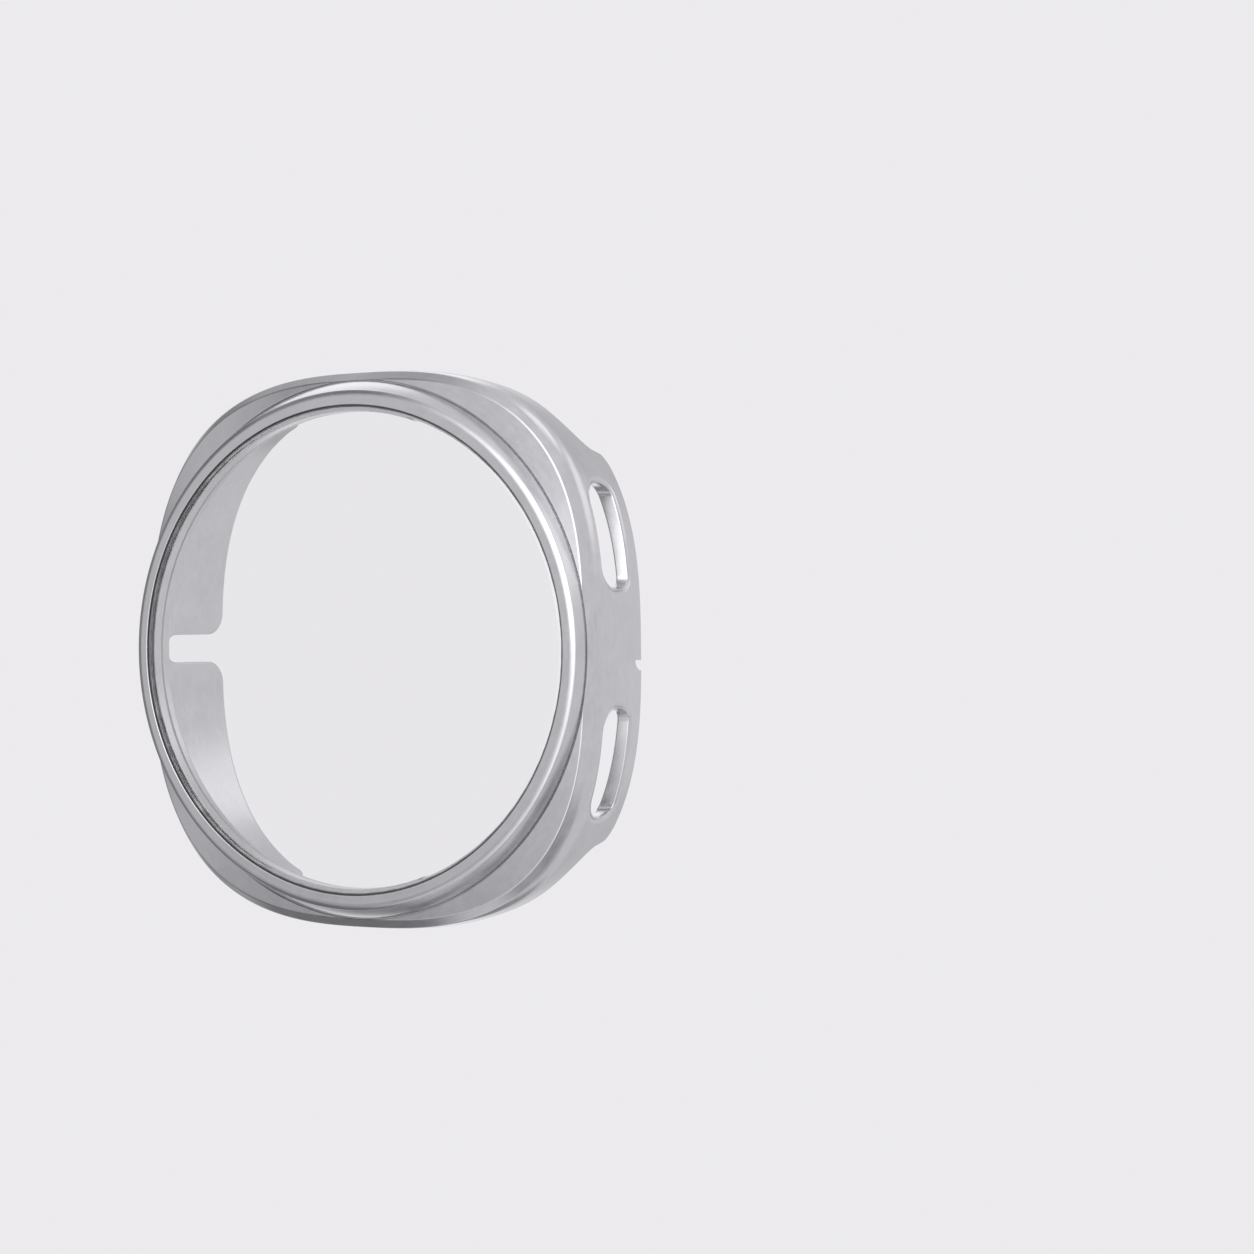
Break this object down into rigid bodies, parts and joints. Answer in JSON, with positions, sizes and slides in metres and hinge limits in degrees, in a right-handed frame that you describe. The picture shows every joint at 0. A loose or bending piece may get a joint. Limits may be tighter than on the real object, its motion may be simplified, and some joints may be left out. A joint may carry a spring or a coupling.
{
  "type": "smartwatch case",
  "caption": "Clip-over protective cover for a cushion-shaped watch: satin silver frame shell with a raised bezel ring and a clear round lens.",
  "frame": {"origin": "on the dial axis, in the plane of the shell's inner face that seats on the watch body", "axes": "+X to 3 o'clock, the button side; +Z to 12 o'clock; +Y back towards the wrist, the way the watch leaves"},
  "size_m": [0.0456, 0.0122, 0.0488],
  "materials": {
    "frame": "satin silver plating on moulded polycarbonate, with a faint brushed grain",
    "bezel": "satin silver plating, faint grain along the ring",
    "lens": "clear polished tempered glass with a bevelled edge",
    "adhesive": "cured clear adhesive film, dark in its shaded seam"
  },
  "bodies": {
    "root": {"frame_shell": "frame", "bezel_ring": "bezel", "lens": "lens", "lens_bond": "adhesive", "ring_bond": "adhesive"}
  },
  "joints": []
}
